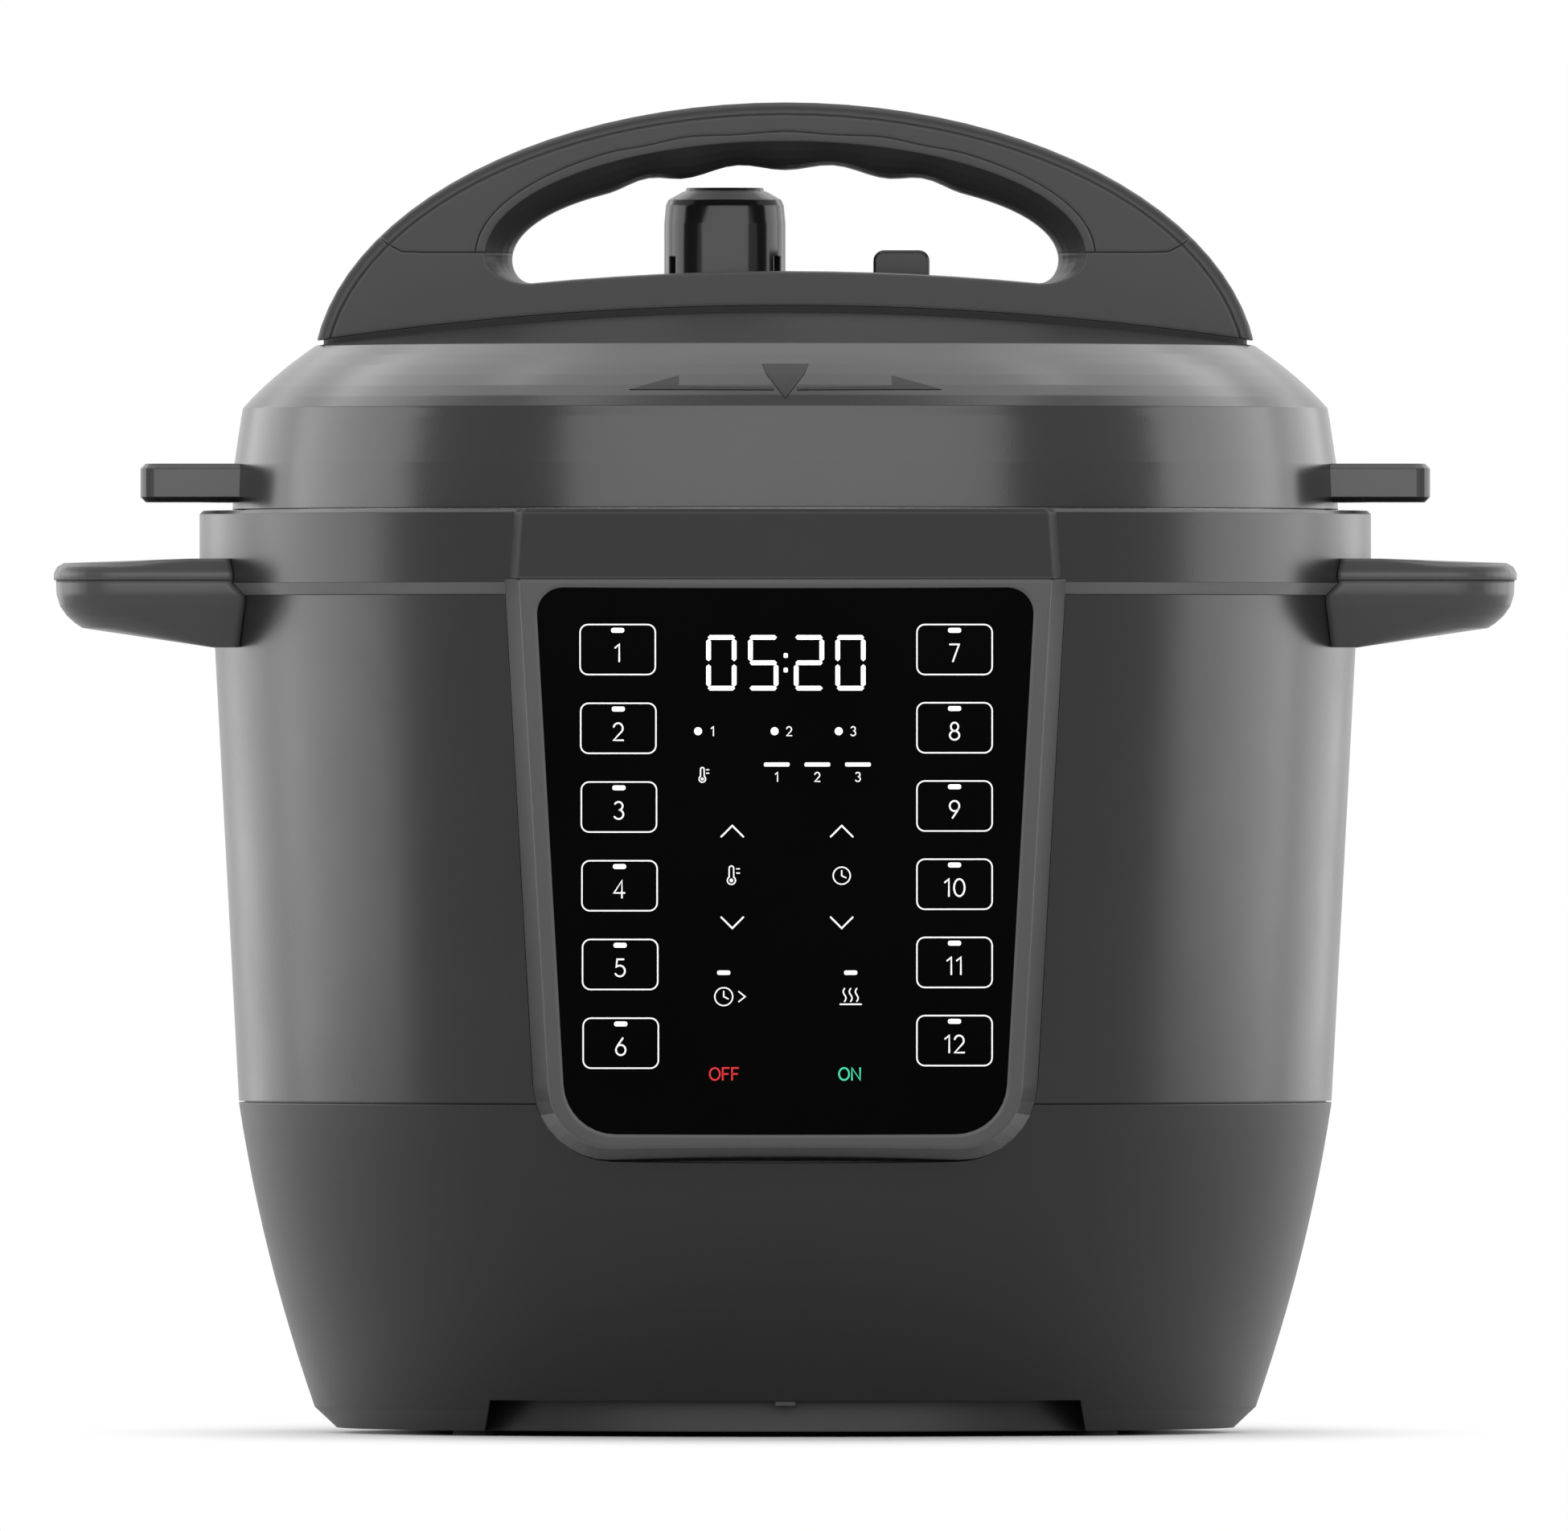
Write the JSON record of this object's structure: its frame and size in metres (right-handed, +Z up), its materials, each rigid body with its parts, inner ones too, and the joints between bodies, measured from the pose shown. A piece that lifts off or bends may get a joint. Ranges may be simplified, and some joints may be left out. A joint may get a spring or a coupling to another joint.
{
  "type": "electric pressure cooker",
  "caption": "Countertop electric pressure cooker with bayonet lid, arched lid handle, steam release knob, side handles and a dark touch panel.",
  "frame": {"origin": "on the pot's vertical axis at the level of the feet", "axes": "+Z up along the pot's axis, -Y towards the control panel, +X to the right of someone facing the panel"},
  "size_m": [0.345, 0.3, 0.3141],
  "materials": {
    "painted_shell": "semi-gloss grey paint",
    "grey_moulding": "satin",
    "dark_moulding": "fine satin",
    "handle_moulding": "satin",
    "gloss_black": "glossy",
    "panel_glass": "glossy film",
    "rubber": "matt",
    "silicone": "matt, translucent",
    "red_silicone": "satin",
    "steel": "brushed",
    "bright_steel": "polished",
    "aluminium": "cast and turned",
    "circuit_board": "lacquered board",
    "cup_plastic": "smoky"
  },
  "bodies": {
    "base": {"base_skirt": "dark_moulding", "feet": "rubber", "base_screws": "bright_steel", "body_shell": "painted_shell", "upper_rim": "grey_moulding", "badge_plate": "dark_moulding", "front_housing": "grey_moulding", "touch_panel": "panel_glass", "display_module": "gloss_black", "control_board": "circuit_board", "handle_cover_left": "grey_moulding", "handle_cover_right": "grey_moulding", "handle_grip_left": "handle_moulding", "handle_grip_right": "handle_moulding", "outer_pot": "steel", "lug_ring": "steel", "heating_plate": "aluminium", "sensor_bracket": "steel", "sensor_spring": "bright_steel", "heat_shield": "steel", "power_board": "circuit_board", "power_inlet": "gloss_black", "inlet_pins": "bright_steel"},
    "sensor": {"temperature_sensor": "aluminium"},
    "collector": {"condensation_cup": "cup_plastic"},
    "pot": {"inner_pot": "steel"},
    "seal": {"sealing_ring": "silicone"},
    "lid": {"lid_cover": "grey_moulding", "lid_dome": "dark_moulding", "arch_base": "dark_moulding", "arch_grip": "dark_moulding", "lid_plate": "steel", "ring_rack": "bright_steel", "lid_screws": "bright_steel", "steam_pipe": "steel", "pipe_nut": "steel", "anti_block_shield": "steel", "lever_bracket": "steel", "button_spring": "bright_steel"},
    "float": {"float_valve": "red_silicone", "float_cap": "silicone"},
    "button": {"quick_release_button": "gloss_black"},
    "lever": {"vent_lever": "steel"},
    "vent": {"vent_collar": "handle_moulding"},
    "valve": {"steam_release_valve": "gloss_black"}
  },
  "joints": [
    {"name": "sensor_press", "type": "slide", "parent": "base", "child": "sensor", "axis": [0, 0, -1], "range_m": [0, 0.003], "stiffness_N_per_m": 800, "springref_m": -0.002, "deforming": ["sensor_spring"]},
    {"name": "cup_off", "type": "slide", "parent": "base", "child": "collector", "axis": [0, 0, -1], "range_m": [0, 0.05]},
    {"name": "pot_lift", "type": "slide", "parent": "base", "child": "pot", "axis": [0, 0, 1], "range_m": [0, 0.2]},
    {"name": "lid_lift", "type": "slide", "parent": "pot", "child": "seal", "axis": [0, 0, 1], "range_m": [0, 0.12]},
    {"name": "lid_turn", "type": "hinge", "parent": "seal", "child": "lid", "pos_m": [0, 0, 0.218], "axis": [0, 0, 1], "range_deg": [0, 22.5]},
    {"name": "float_rise", "type": "slide", "parent": "lid", "child": "float", "axis": [0, 0, 1], "range_m": [0, 0.005]},
    {"name": "button_press", "type": "slide", "parent": "lid", "child": "button", "axis": [0, 0, -1], "range_m": [0, 0.004], "stiffness_N_per_m": 400, "springref_m": -0.002, "deforming": ["button_spring"]},
    {"name": "lever_rock", "type": "hinge", "parent": "lid", "child": "lever", "pos_m": [-0.0029, 0.033, 0.24925], "axis": [0, 1, 0], "range_deg": [0, 7.55]},
    {"name": "vent_rise", "type": "slide", "parent": "lid", "child": "vent", "axis": [0, 0, 1], "range_m": [0, 0.0015]},
    {"name": "valve_pull", "type": "slide", "parent": "vent", "child": "valve", "axis": [0, 0, 1], "range_m": [0, 0.03]}
  ],
  "couplings": [
    {"joint": "lever_rock", "follows": "button_press", "rad_per_m": 32.895},
    {"joint": "vent_rise", "follows": "button_press", "ratio": 0.375}
  ]
}
